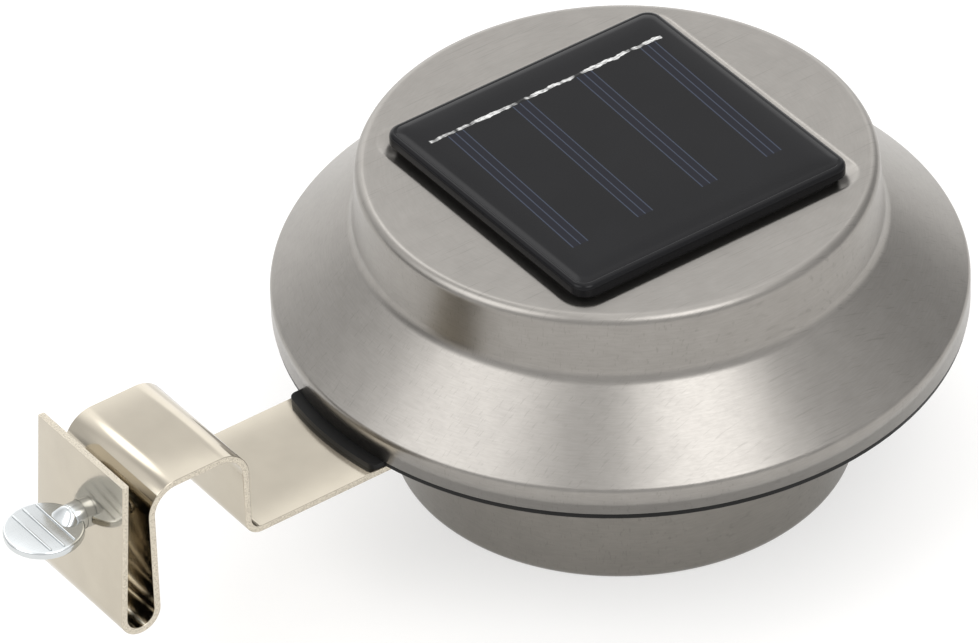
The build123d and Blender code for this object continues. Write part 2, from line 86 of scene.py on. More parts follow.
def colour(name, value, description):
    return FloatVectorProperty(name=name, description=description, default=value, size=4,
                               min=0.0, max=1.0, subtype="COLOR")


class FenceLightSizes(bpy.types.PropertyGroup):
    """Sizes of the rebuilt pieces."""
    sheet: length("Sheet", 0.6, "Thickness of the hat's and the cup's steel")
    lip_height: length("Lip height", 4.5, "Height of the hat's upright lip")
    lip_round: length("Lip round", 1.3, "Outer radius between cone and lip")
    neck_radius: length("Neck radius", 43.6, "Radius where the cone meets the neck")
    neck_height: length("Neck height", 16.8, "Height of the neck's foot above the lip's edge")
    neck_fillet: length("Neck fillet", 3.4, "Radius of the hollow corner at the neck's foot")
    plateau_radius: length("Plateau radius", 42.8, "Radius of the hat's flat top")
    plateau_round: length("Plateau round", 1.8, "Radius of the flat top's edge")
    pocket_depth: length("Pocket depth", 1.2, "Depth of the square pocket for the panel")
    pocket_slope: length("Pocket slope", 2.9, "How far the pocket's walls lean out")
    pocket_corner: length("Pocket corner", 4.8, "Corner radius of the pocket's mouth")
    pocket_band: length("Pocket band", 0.25, "Flat rim kept at the pocket's mouth and floor")
    pocket_gap: length("Pocket gap", 0.3, "Panel to the foot of the pocket's walls")
    pocket_edge: length("Pocket edge", 1.6, "Radius of the pocket's bent edges")
    panel_corner: length("Panel corner", 2.7, "Corner radius of the panel")
    panel_edge: length("Panel edge", 0.9, "Radius of the panel's upper edge")
    panel_flange: length("Panel flange", 1.1, "How far the panel's flange stands out over its body")
    panel_flange_foot: length("Panel flange foot", 0.2, "Flange's underside above the flat top")
    panel_lift: length("Panel lift", 0.5, "Panel's underside above the pocket's floor")
    panel_crown: length("Panel crown", 0.24, "Rise of the panel's face from its edge to its flat middle")
    panel_roll: length("Panel roll", 4.2, "Width over which the panel's face rises")
    seam_land: length("Seam land", 0.08, "Rounded edge to the fine seam")
    seam_width: length("Seam width", 0.12, "Width of the fine seam round the panel's face")
    seam_depth: length("Seam depth", 0.05, "Depth of the fine seam round the panel's face")
    line_start: length("Line start", 18.8, "Lamp's axis to the lines' end at the ribbon")
    line_end: length("Line end", 17.6, "Lamp's axis to the lines' free end")
    line_width: length("Line width", 0.15, "Width of a contact line")
    line_pitch: length("Line pitch", 1.45, "Spacing of the three lines of a group")
    line_skew: FloatProperty(name="Line skew", description="Sideways run of the lines over their length",
                             default=0.042)
    line_group_pitch: length("Line group pitch", 13.0, "Spacing of the groups of lines")
    ribbon_place: length("Ribbon place", 19.3, "Lamp's axis to the broken ribbon")
    ribbon_half: length("Ribbon half length", 23.4, "Half the length of the broken ribbon")
    ribbon_width: length("Ribbon width", 0.8, "Width of the broken silver ribbon")
    strip_thickness: length("Strip thickness", 1.2, "Thickness of the clamp's strip")
    strip_edge: length("Strip edge", 0.16, "Radius of the strip's sheared edges")
    saddle_gap: length("Saddle gap", 17.0, "Clear width under the saddle")
    saddle_bend: length("Saddle bend", 4.3, "Inner radius of the saddle's bends")
    saddle_rise: length("Saddle rise", 16.0, "Saddle's underside above the arm's top")
    arm_bend: length("Arm bend", 2.0, "Inner radius between wall and arm")
    fold_gap: length("Fold gap", 5.2, "Clear gap at the bottom of the spring fold")
    fold_depth: length("Fold depth", 26.1, "Fold's lowest point below the saddle's underside")
    free_leg_rise: length("Free leg rise", 4.3, "Free leg's top above the saddle's underside")
    free_leg_lean: FloatProperty(name="Free leg lean", description="Lean of the free leg over the fold",
                                 default=radians(4.0), unit="ROTATION", subtype="ANGLE")
    grip_radius: length("Grip radius", 6.6, "Radius of the thumb screw's flat grip")
    grip_thickness: length("Grip thickness", 1.4, "Thickness of the grip")
    grip_edge: length("Grip edge", 0.42, "Radius of the grip's edges")
    grip_gap: length("Grip gap", 0.3, "Grip's edge to the free leg")
    rib_pitch: length("Rib pitch", 2.3, "Spacing of the grip's raised lines")
    rib_width: length("Rib width", 0.4, "Width of a raised line")
    rib_height: length("Rib height", 0.22, "Height of a raised line")
    rib_edge: length("Rib edge", 0.09, "Radius of a raised line's edges")
    screw_radius: length("Screw radius", 2.45, "Outer radius of the thumb screw's thread")
    thread_pitch: length("Thread pitch", 0.8, "Pitch of the thread")
    thread_depth: length("Thread depth", 0.42, "Depth of the thread")
    thread_fit: length("Thread fit", 0.05, "Clearance of the thread, and overlap of joined shells")
    bore_fit: length("Bore fit", 0.25, "Clearance of the screw in the inner leg")
    collar_wall: length("Collar wall", 1.1, "Wall of the tapped collar")
    collar_length: length("Collar length", 1.2, "Height of the tapped collar")
    collar_round: length("Collar round", 0.3, "Radius of the collar's outer edge")
    spigot_radius: length("Spigot radius", 1.3, "Radius of the screw's end in its foot")
    spigot_cover: length("Spigot cover", 0.65, "Foot's face to the screw's end")
    small_round: length("Small round", 0.2, "Radius of the smallest rounded corners")
    neck_length: length("Neck length", 2.0, "Round neck between grip and thread")
    neck_taper: length("Neck taper", 2.8, "Length over which the neck flattens to the grip")
    cup_flange: length("Cup flange", 6.5, "Width of the cup's flange under the plate")
    cup_swell: length("Cup swell", 1.1, "How far the drawn wall stands outside the plain cup")
    cup_edge: length("Cup edge", 1.8, "Outer radius of the cup's lower edge")
    cup_hem: length("Cup hem", 1.7, "Width of the inward turn at the cup's lower edge")
    turn_steps: IntProperty(name="Turn steps", description="Faces round the turned steel pieces",
                            default=224, min=24, max=360)


class FenceLightColours(bpy.types.PropertyGroup):
    """Colours of the finishes."""
    steel: colour("Steel", (0.285, 0.271, 0.253, 1), "Satin stainless steel of the hat")
    # The cup's steel is the hat's steel painted darker: painted shade for the shaded floor the cup reflects
    cup_steel: colour("Cup steel", (0.215, 0.203, 0.184, 1), "Satin stainless steel of the cup")
    nickel: colour("Nickel", (0.520, 0.475, 0.395, 1), "Polished nickel plate of the strip")
    zinc: colour("Zinc", (0.640, 0.665, 0.675, 1), "Bright zinc plate of the screws")
    panel_black: colour("Panel black", (0.0060, 0.0060, 0.0068, 1), "Glossy black panel")
    cell_tint: colour("Cell tint", (0.008, 0.0085, 0.014, 1), "Blue cast of the cells along their lines")
    silicon: colour("Silicon", (0.022, 0.023, 0.027, 1), "Solar cells under the cover")
    contact_line: colour("Contact line", (0.048, 0.060, 0.088, 1), "Thin contact lines on the cells")
    tin: colour("Tin", (0.720, 0.720, 0.710, 1), "Tinned ribbon across the cells")
    plastic_black: colour("Plastic black", (0.008, 0.008, 0.008, 1), "Moulded black plastic")
    floor: colour("Floor", (0.400, 0.392, 0.380, 1), "Pale studio floor")


def sizes():
    return bpy.context.scene.fence_light_sizes


def colours():
    return bpy.context.scene.fence_light_colours


# Shaping
def only(kind, geometry):
    return [item for item in geometry if isinstance(item, kind)]


def rounded(bm, geometry, offset, segments, affect="VERTICES"):
    bmesh.ops.bevel(bm, geom=geometry, offset=offset, offset_type="OFFSET", segments=segments, profile=0.5,
                    affect=affect, material=-1, clamp_overlap=affect == "EDGES")


def close_ends(bm):
    bmesh.ops.holes_fill(bm, edges=[edge for edge in bm.edges if edge.is_boundary])


def rounded_line(bm, points, radii, closed, segments):
    """Edges through points, its corners rounded to radii (0 leaves one sharp)."""
    verts = [bm.verts.new(point) for point in points]
    pairs = list(zip(verts, verts[1:])) + ([(verts[-1], verts[0])] if closed else [])
    for pair in pairs:
        bm.edges.new(pair)
    inner = verts if closed else verts[1:-1]
    for vert, radius in zip(inner, radii):
        if not radius:
            continue
        index = verts.index(vert)
        before = (Vector(points[index]) - Vector(points[index - 1])).normalized()
        after = (Vector(points[(index + 1) % len(points)]) - Vector(points[index])).normalized()
        rounded(bm, [vert], radius * tan(before.angle(after) / 2), segments)


def turned(bm, points, radii, steps, closed=False, axis_x=LAMP_AXIS, segments=6):
    """A line in the XZ plane, radius and height, turned about an upright axis."""
    line = bmesh.new()
    rounded_line(line, [(axis_x + radius, 0, height) for radius, height in points], radii, closed, segments)
    bmesh.ops.spin(line, geom=line.verts[:] + line.edges[:], cent=(axis_x, 0, 0), axis=(0, 0, 1),
                   dvec=(0, 0, 0), angle=2 * pi, steps=steps, use_merge=True)
    bmesh.ops.remove_doubles(line, verts=line.verts, dist=SAME_POINT)
    join(bm, line)


def join(bm, other):
    """Adds other's geometry to bm and frees it."""
    mesh = bpy.data.meshes.new("joined")
    other.to_mesh(mesh)
    other.free()
    bm.from_mesh(mesh)
    bpy.data.meshes.remove(mesh)


def run(bm, ring, way):
    """Carries a ring of edges on in a straight line and gives the new ring."""
    made = bmesh.ops.extrude_edge_only(bm, edges=ring)["geom"]
    verts = set(only(bmesh.types.BMVert, made))
    bmesh.ops.translate(bm, verts=list(verts), vec=way)
    return [edge for edge in only(bmesh.types.BMEdge, made) if set(edge.verts) <= verts]


def bend(bm, ring, centre, degrees, steps):
    """Carries a ring of edges round an axis along Y through centre and gives the new ring."""
    verts = list({vert for edge in ring for vert in edge.verts})
    made = bmesh.ops.spin(bm, geom=verts + ring, cent=centre, axis=(0, 1, 0), dvec=(0, 0, 0),
                          angle=radians(degrees), steps=steps)["geom_last"]
    last = set(only(bmesh.types.BMVert, made))
    return [edge for edge in only(bmesh.types.BMEdge, made) if set(edge.verts) <= last]


def rounded_square(bm, side, corner, height):
    """One face, a square about the lamp's axis with rounded corners."""
    place = Matrix.Translation((LAMP_AXIS, 0, height))
    made = bmesh.ops.create_grid(bm, x_segments=1, y_segments=1, size=side / 2, matrix=place)
    rounded(bm, made["verts"], corner, 10)
    return max(bm.faces, key=lambda face: face.calc_area())


def stepped(bm, face, reach, width, rise):
    """Carries a face about the lamp's axis inwards by width and up by rise, and gives the new face."""
    face = bmesh.ops.extrude_discrete_faces(bm, faces=[face])["faces"][0]
    share = (reach - width) / reach
    bmesh.ops.scale(bm, verts=face.verts[:], vec=(share, share, 1),
                    space=Matrix.Translation((-LAMP_AXIS, 0, 0)))
    bmesh.ops.translate(bm, verts=face.verts[:], vec=(0, 0, rise))
    return face


def on_screw_axis(x):
    """Lays Z along the screw's axis, starting at x."""
    return Matrix.Translation((x, 0, SCREW_AXIS)) @ Matrix.Rotation(pi / 2, 4, "Y")


def box_piece(bm, low, high, edge, segments=3):
    """A box from corner to corner with rounded edges."""
    low, high = Vector(low), Vector(high)
    made = bmesh.new()
    place = Matrix.Translation((low + high) / 2) @ Matrix.Diagonal((*(high - low), 1))
    bmesh.ops.create_cube(made, size=1, matrix=place)
    rounded(made, made.edges[:], edge, segments, "EDGES")
    join(bm, made)


# Pieces
def outward(bm):
    bmesh.ops.remove_doubles(bm, verts=bm.verts, dist=SAME_POINT)
    bmesh.ops.recalc_face_normals(bm, faces=bm.faces)


def new_object(name, bm):
    """Makes bm an object of the scene and frees it."""
    mesh = bpy.data.meshes.new(name)
    bm.to_mesh(mesh)
    bm.free()
    obj = bpy.data.objects.new(name, mesh)
    bpy.context.collection.objects.link(obj)
    return obj


def piece(name, bm, body, materials, replaces=(), own_normals=True):
    """Makes bm a finished object that rides on a CAD body and stands for CAD nodes."""
    if own_normals:
        outward(bm)
    obj = new_object(name, bm)
    mesh = obj.data
    if not mesh.polygons:
        raise RuntimeError(name + " has no faces")
    mesh.shade_smooth()
    mesh.set_sharp_from_angle(angle=SHARP)
    for material in materials:
        mesh.materials.append(material)
    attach(obj, body)
    if replaces:
        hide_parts(*replaces)
    return obj


def bored(obj, cutter_bm):
    """Cuts the cutter's solids out of obj and drops the cutter."""
    outward(cutter_bm)
    cutter = new_object("cutter", cutter_bm)
    boolean = obj.modifiers.new("bore", "BOOLEAN")
    boolean.object = cutter
    boolean.operation = "DIFFERENCE"
    boolean.solver = "EXACT"
    graph = bpy.context.evaluated_depsgraph_get()
    cut = bpy.data.meshes.new_from_object(obj.evaluated_get(graph))
    old = obj.data
    obj.modifiers.remove(boolean)
    obj.data = cut
    cut.name = old.name + "_cut"
    spent = cutter.data
    bpy.data.objects.remove(cutter)
    for mesh in (old, spent):
        bpy.data.meshes.remove(mesh)
    cut.set_sharp_from_angle(angle=SHARP)


def dress(node, material):
    """Gives a CAD node its material and smooth shading between its sharp edges."""
    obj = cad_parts[node]
    obj.data.materials.clear()
    obj.data.materials.append(material)
    obj.data.shade_smooth()
    weld = obj.modifiers.new("weld", "WELD")
    weld.merge_threshold = WELD_REACH
    split = obj.modifiers.new("split", "EDGE_SPLIT")
    split.split_angle = CAD_SHARP


# Finishes
class Nodes:
    """Short calls for one tree's nodes. Where a call takes a number it also takes a socket to link."""

    def __init__(self, tree):
        self.tree = tree

    def put(self, socket, value):
        if isinstance(value, bpy.types.NodeSocket):
            self.tree.links.new(value, socket)
        else:
            socket.default_value = value

    def node(self, kind, inputs=(), **settings):
        node = self.tree.nodes.new("ShaderNode" + kind)
        for key, value in settings.items():
            setattr(node, key, value)
        for key, value in dict(inputs).items():
            self.put(node.inputs[key], value)
        return node

    def calc(self, operation, *values):
        return self.node("Math", enumerate(values), operation=operation).outputs[0]

    def vector(self, operation, *values, **named):
        return self.node("VectorMath", {**dict(enumerate(values)), **named}, operation=operation).outputs

    def split(self, vector):
        return self.node("SeparateXYZ", {0: vector}).outputs

    def combined(self, *parts):
        return self.node("CombineXYZ", enumerate(parts)).outputs[0]

    def noise(self, place, scale, detail, roughness=0.5):
        inputs = {"Vector": place, "Scale": scale, "Detail": detail, "Roughness": roughness}
        return self.node("TexNoise", inputs).outputs[0]

    def ranged(self, value, least, most, low=0.0, high=1.0):
        """Maps least to most onto low to high."""
        inputs = {"Value": value, "From Min": least, "From Max": most, "To Min": low, "To Max": high}
        return self.node("MapRange", inputs).outputs["Result"]

    def spread(self, value, low, high):
        """Maps 0 to 1 onto low to high."""
        return self.ranged(value, 0.0, 1.0, low, high)


class Finish(Nodes):
    """A material and its Principled shader."""

    def __init__(self, name, **sockets):
        self.material = bpy.data.materials.new(name)
        self.material.use_nodes = True
        super().__init__(self.material.node_tree)
        self.shader = self.tree.nodes["Principled BSDF"]
        self.place = self.node("TexCoord").outputs["Object"]
        self.set(**sockets)

    def group(self, tree, **inputs):
        """Adds a shared group at the surface's own place."""
        return self.node("Group", {"Place": self.place, **inputs}, node_tree=tree).outputs

    def blend(self, factor, first, second):
        return self.node("Mix", {0: factor, 6: first, 7: second}, data_type="RGBA").outputs[2]

    def bump(self, height, distance, **normal):
        return self.node("Bump", {"Height": height, "Distance": distance, **normal}).outputs["Normal"]

    def set(self, **sockets):
        for socket, value in sockets.items():
            self.put(self.shader.inputs[socket.replace("_", " ")], value)
        return self.material


class Group(Nodes):
    """A shader group that takes a place and some numbers, and gives numbers."""

    def __init__(self, name, numbers, outputs):
        super().__init__(bpy.data.node_groups.new(name, "ShaderNodeTree"))
        new_socket = self.tree.interface.new_socket
        new_socket("Place", in_out="INPUT", socket_type="NodeSocketVector")
        for socket, value in numbers.items():
            new_socket(socket, in_out="INPUT", socket_type="NodeSocketFloat").default_value = value
        for socket in outputs:
            new_socket(socket, in_out="OUTPUT", socket_type="NodeSocketFloat")
        self.given = self.tree.nodes.new("NodeGroupInput").outputs
        self.out = self.tree.nodes.new("NodeGroupOutput").inputs

    def give(self, **outputs):
        for socket, value in outputs.items():
            self.put(self.out[socket], value)
        return self.tree


def shared(build):
    """Makes a builder of a group build it once, and hand out the same one from then on."""
    def fetch():
        return bpy.data.node_groups.get(build.__name__) or build(build.__name__)
    return fetch


@shared
def rotary_marks(name):
    """Fine marks round the lamp's axis, short flecks, slanted scratches and the mottle of rolled sheet."""
    group = Group(name, {"Fineness": 3000.0, "Length": 60.0}, ["Marks", "Mottle", "Flecks", "Scratches"])
    place, fineness, length_round = (group.given[socket] for socket in ("Place", "Fineness", "Length"))
    x, y, z = group.split(group.vector("SUBTRACT", place, (LAMP_AXIS, 0, 0))[0])
    flat = group.combined(x, y)
    radius = group.vector("LENGTH", flat)["Value"]
    across = group.calc("MULTIPLY", group.calc("SUBTRACT", radius, z), fineness)
    turn = group.split(group.vector("SCALE", group.vector("NORMALIZE", flat)[0], Scale=length_round)[0])
    drawn = group.split(group.vector("SCALE", flat, Scale=420.0)[0])
    slanted = group.node("Mapping", {"Vector": place, "Rotation": (0.0, 0.0, radians(35)),
                                     "Scale": (110.0, 4200.0, 900.0)}).outputs[0]
    return group.give(Marks=group.noise(group.combined(turn[0], turn[1], across), 1.0, 4.0, 0.65),
                      Mottle=group.noise(place, 260.0, 3.0),
                      Flecks=group.noise(group.combined(drawn[0], drawn[1], across), 1.0, 3.0),
                      Scratches=group.ranged(group.noise(slanted, 1.0, 1.0), 0.62, 0.74))


@shared
def straight_marks(name):
    """Fine drawn marks along X and Z, as on rolled strip."""
    group = Group(name, {"Fineness": 4000.0, "Length": 120.0}, ["Marks", "Mottle"])
    place, fineness, length_along = (group.given[socket] for socket in ("Place", "Fineness", "Length"))
    scales = (length_along, fineness, length_along)
    where = [group.calc("MULTIPLY", part, scale) for part, scale in zip(group.split(place), scales)]
    return group.give(Marks=group.noise(group.combined(*where), 1.0, 3.0, 0.6),
                      Mottle=group.noise(place, 180.0, 2.0))


@shared
def moulded_grain(name):
    """The fine spark-eroded grain and soft unevenness of moulded plastic or rubber."""
    group = Group(name, {"Grain": 3500.0}, ["Grain", "Unevenness"])
    place = group.given["Place"]
    return group.give(Grain=group.noise(place, group.given["Grain"], 2.0),
                      Unevenness=group.noise(place, 90.0, 2.0))


# Sizes that place the lines and the ribbon on the panel's face
PRINTED = ("line_skew", "line_group_pitch", "line_pitch", "line_width", "line_start", "line_end",
           "ribbon_place", "ribbon_half", "ribbon_width")


@shared
def solar_print(name):
    """Masks of the cells' thin lines, of the tint between them and of the broken ribbon."""
    group = Group(name, dict.fromkeys(PRINTED, 0.001), ["Lines", "Tint", "Ribbon"])
    calc = group.calc
    place, skew, group_pitch, pitch, width, start, end, ribbon_place, ribbon_half, ribbon_width = (
        group.given[socket] for socket in ("Place", *PRINTED))
    crisp, soft = 0.00005, 0.0001

    def below(value, limit, softness=soft):
        """1 where value is under limit, 0 above it, with a soft edge."""
        return group.ranged(value, calc("SUBTRACT", limit, softness), calc("ADD", limit, softness), 1.0, 0.0)

    parts = group.split(place)
    y = parts[1]
    x = calc("SUBTRACT", parts[0], calc("MULTIPLY_ADD", y, skew, LAMP_AXIS))
    cell = calc("SUBTRACT", calc("FRACT", calc("DIVIDE", x, group_pitch)), 0.5)
    from_group = calc("MULTIPLY", cell, group_pitch)
    nearest = calc("MULTIPLY", calc("ROUND", calc("DIVIDE", from_group, pitch)), pitch)
    from_line = calc("ABSOLUTE", calc("SUBTRACT", from_group, nearest))
    in_group = below(calc("ABSOLUTE", from_group), calc("MULTIPLY", pitch, 1.15))
    in_cells = below(calc("ABSOLUTE", x), calc("MULTIPLY", group_pitch, 2.0))
    in_length = calc("MULTIPLY", below(y, start), below(calc("MULTIPLY", y, -1.0), end))
    field = calc("MULTIPLY", calc("MULTIPLY", in_group, in_cells), in_length)
    line = below(from_line, calc("MULTIPLY", width, 0.5), crisp)

    x = calc("SUBTRACT", parts[0], LAMP_AXIS)
    along = group.combined(calc("MULTIPLY", x, 260.0), 7.3)
    streak = group.combined(calc("MULTIPLY", x, 900.0), calc("MULTIPLY", y, 4200.0))
    breaks = group.noise(along, 1.0, 3.0, 0.6)
    ragged = group.noise(along, 2.3, 1.0)
    streaks = group.noise(streak, 1.0, 2.0)
    middle = calc("ADD", ribbon_place, calc("MULTIPLY", calc("SUBTRACT", ragged, 0.5), 0.0009))
    half = calc("MULTIPLY", ribbon_width, calc("MULTIPLY", breaks, 0.9))
    body = below(calc("ABSOLUTE", calc("SUBTRACT", y, middle)), half, crisp)
    bright = calc("MULTIPLY", group.ranged(breaks, 0.36, 0.50, 0.04), group.ranged(streaks, 0.35, 0.62, 0.35))
    ribbon = calc("MULTIPLY", body, below(calc("ABSOLUTE", x), ribbon_half))
    return group.give(Lines=calc("MULTIPLY", line, field), Tint=field, Ribbon=calc("MULTIPLY", ribbon, bright))


def shade(tone, factor, lift=0.0):
    """A paler or darker colour."""
    return [min(channel * factor + lift, 1) for channel in tone[:3]] + [1]


def panel_gloss(name):
    """Black resin face with the cells' lines and the broken ribbon showing through it."""
    size, tone = sizes(), colours()
    finish = Finish(name, Specular_IOR_Level=0.14)
    shown = finish.group(solar_print(), **{key: getattr(size, key) for key in PRINTED})
    grain = finish.group(moulded_grain(), Grain=700.0)
    face = finish.blend(grain["Unevenness"], tone.panel_black, shade(tone.panel_black, 1.5))
    for mask, colour_shown in (("Tint", tone.cell_tint), ("Lines", tone.contact_line), ("Ribbon", tone.tin)):
        face = finish.blend(shown[mask], face, colour_shown)
    return finish.set(Base_Color=face, Roughness=finish.spread(grain["Unevenness"], 0.09, 0.15),
                      Normal=finish.bump(grain["Grain"], 0.0000008))


def satin_steel(name, tone, calm_above=None):
    """Stainless sheet with fine rotary marks, calmer above a height where one is given."""
    finish = Finish(name, Metallic=1.0)
    marks = finish.group(rotary_marks())
    mottled = finish.blend(finish.spread(marks["Mottle"], 0.2, 0.8), shade(tone, 0.84), shade(tone, 1.16))
    strength = 0.13
    if calm_above is not None:
        height = finish.split(finish.place)[2]
        strength = finish.ranged(height, calm_above - 0.0012, calm_above, strength, 0.08)
    flecked = finish.blend(finish.ranged(marks["Flecks"], 0.32, 0.68), shade(tone, 0.70), shade(tone, 1.30))
    grey = finish.blend(strength, mottled, flecked)
    scratched = finish.blend(finish.spread(marks["Scratches"], 0.0, 0.3), grey, shade(tone, 0.6))
    ground = finish.bump(marks["Marks"], 0.0000025)
    return finish.set(Base_Color=scratched, Roughness=finish.spread(marks["Marks"], 0.24, 0.40),
                      Normal=finish.bump(marks["Mottle"], 0.000012, Normal=ground))


def plated(name, tone, low, high, depth=0.0000012):
    """Bright plate over drawn strip or turned steel."""
    finish = Finish(name, Metallic=1.0)
    marks = finish.group(straight_marks())
    return finish.set(Base_Color=finish.blend(marks["Mottle"], shade(tone, 0.86), tone),
                      Roughness=finish.spread(marks["Marks"], low, high),
                      Normal=finish.bump(marks["Marks"], depth))


def sheared(name, tone):
    """The ripped face of a sheared strip edge: grain in random tones, paler than the strip, so in part a
    painted highlight along the edge.
    """
    finish = Finish(name, Metallic=1.0)
    grain = finish.group(moulded_grain(), Grain=4200.0)["Grain"]
    # Paler grain, up to 1.4 times the nickel, is in part a painted highlight along the edge
    grain_with_highlight = finish.blend(finish.spread(grain, -0.4, 1.4), shade(tone, 0.78), shade(tone, 1.40))
    return finish.set(Base_Color=grain_with_highlight, Roughness=finish.spread(grain, 0.22, 0.36),
                      Normal=finish.bump(grain, 0.00002))


def moulded(name, tone, low, high, depth=0.000004, grain_size=3500.0, gloss=0.32):
    """Moulded plastic or rubber."""
    finish = Finish(name, Specular_IOR_Level=gloss)
    grain = finish.group(moulded_grain(), Grain=grain_size)
    return finish.set(Base_Color=finish.blend(grain["Unevenness"], tone, shade(tone, 1.35, 0.002)),
                      Roughness=finish.spread(grain["Unevenness"], low, high),
                      Normal=finish.bump(grain["Grain"], depth))


def clear(name, tone, roughness, ior):
    """Clear resin or glass with a faintly uneven face."""
    finish = Finish(name, Transmission_Weight=1.0, IOR=ior, Base_Color=tone, Roughness=roughness)
    grain = finish.group(moulded_grain(), Grain=700.0)
    return finish.set(Normal=finish.bump(grain["Unevenness"], 0.00001))


def solar_field(name, tone):
    """Dark silicon with a fine crystal fleck."""
    finish = Finish(name, Coat_Weight=0.6, Coat_Roughness=0.04)
    flecks = finish.node("TexVoronoi", {"Vector": finish.place, "Scale": 900.0}).outputs["Color"]
    fleck = finish.node("SeparateColor", {0: flecks}).outputs[0]
    return finish.set(Base_Color=finish.blend(fleck, tone, shade(tone, 1.25)),
                      Roughness=finish.spread(fleck, 0.28, 0.38))


# Operators, one for each piece or group of pieces
class FenceLightOperator:
    bl_options = {"REGISTER", "UNDO"}


class FENCE_LIGHT_OT_hat(FenceLightOperator, bpy.types.Operator):
    """Build the pressed steel hat with its sunk square pocket"""
    bl_idname = "fence_light.hat"
    bl_label = "Pressed hat"

    def execute(self, context):
        size = sizes()
        top, bottom = HAT_HIGH.z, HAT_LOW.z
        radius = (HAT_HIGH.x - HAT_LOW.x) / 2
        flat = size.plateau_radius - 1.2 * size.plateau_round   # just inside the rounded edge
        outline = [(flat, top), (size.plateau_radius, top), (size.neck_radius, bottom + size.neck_height),
                   (radius, bottom + size.lip_height), (radius, bottom)]
        bm = bmesh.new()
        radii = [size.plateau_round, size.neck_fillet, size.lip_round]
        turned(bm, outline, radii, size.turn_steps, segments=10)
        join(bm, self.pocket(size, top))
        rims = [edge for edge in bm.edges
                if edge.is_boundary and all(vert.co.z > top - SAME_LEVEL for vert in edge.verts)]
        bmesh.ops.triangle_fill(bm, use_beauty=True, use_dissolve=False, edges=rims)
        outward(bm)
        if sum(face.normal.z * face.calc_area() for face in bm.faces) < 0:
            bmesh.ops.reverse_faces(bm, faces=bm.faces)
        steel = satin_steel("hat_satin_steel", colours().steel, calm_above=top)
        hat = piece("hat", bm, "lamp", [steel], ["top_cover"], own_normals=False)
        sheet = hat.modifiers.new("sheet", "SOLIDIFY")
        sheet.thickness = size.sheet
        sheet.offset = -1
        sheet.use_even_offset = True
        return {"FINISHED"}

    def pocket(self, size, top):
        """The square pocket's leaning walls, with both edges bent round, and its floor."""
        foot = (PANEL_HIGH.x - PANEL_LOW.x) / 2 + size.pocket_gap
        lean, steps = atan2(size.pocket_depth, size.pocket_slope), 5
        bent = size.pocket_edge * tan(lean / 2)
        angles = [lean * step / steps for step in range(steps + 1)]
        rim = [(size.pocket_edge * sin(angle), size.pocket_edge * (cos(angle) - 1)) for angle in angles]
        width = size.pocket_slope + 2 * bent
        toe = [(width - inwards, -size.pocket_depth - level) for inwards, level in reversed(rim)]
        wall = [(-size.pocket_band, 0), *rim, *toe, (width + size.pocket_band, -size.pocket_depth)]
        mouth = foot + size.pocket_slope + bent
        pocket = bmesh.new()
        floor = rounded_square(pocket, 2 * (mouth + size.pocket_band), size.pocket_corner, top)
        for (inwards, level), (further, lower) in zip(wall, wall[1:]):
            floor = stepped(pocket, floor, mouth - inwards, further - inwards, lower - level)
        return pocket


class FENCE_LIGHT_OT_panel(FenceLightOperator, bpy.types.Operator):
    """Build the solar panel with its lines and its broken ribbon"""
    bl_idname = "fence_light.panel"
    bl_label = "Solar panel"

    def execute(self, context):
        size, tone = sizes(), colours()
        side = PANEL_HIGH.x - PANEL_LOW.x
        foot = HAT_HIGH.z - size.pocket_depth + size.panel_lift
        ledge = HAT_HIGH.z + size.panel_flange_foot
        edge = PANEL_HIGH.z - size.panel_crown
        bm = bmesh.new()
        base = rounded_square(bm, side, size.panel_corner, foot)
        made = bmesh.ops.extrude_face_region(bm, geom=[base])["geom"]
        bmesh.ops.translate(bm, verts=only(bmesh.types.BMVert, made), vec=(0, 0, ledge - foot))
        face = only(bmesh.types.BMFace, made)[0]
        face = stepped(bm, face, side / 2, -size.panel_flange, 0.0)
        stepped(bm, face, side / 2, 0.0, edge - ledge)
        upper = [item for item in bm.edges if all(vert.co.z > edge - SAME_LEVEL for vert in item.verts)]
        rounded(bm, upper, size.panel_edge, 8, "EDGES")
        large = [item for item in bm.faces if item.calc_area() > 0.25 * side * side]
        face = max(large, key=lambda item: item.calc_center_median().z)
        reach = side / 2 + size.panel_flange - size.panel_edge
        seam = [(size.seam_land, 0.0), (size.seam_width, -size.seam_depth), (size.seam_width, size.seam_depth)]
        crown = [(size.panel_roll / 4, size.panel_crown * share) for share in (0.44, 0.31, 0.19, 0.06)]
        for width, rise in seam + crown:
            face = stepped(bm, face, reach, width, rise)
            reach -= width
        piece("panel_body", bm, "lamp", [panel_gloss("panel_gloss")], ["panel_frame", "panel_cover"])

        dress("solar_cells", solar_field("silicon_field", tone.silicon))
        dress("cell_ribbon", plated("ribbon_tin", tone.tin, 0.12, 0.3))
        dress("panel_seal", moulded("seal_foam", (0.012, 0.012, 0.012, 1), 0.6, 0.8, 0.00002, 1500.0))
        return {"FINISHED"}


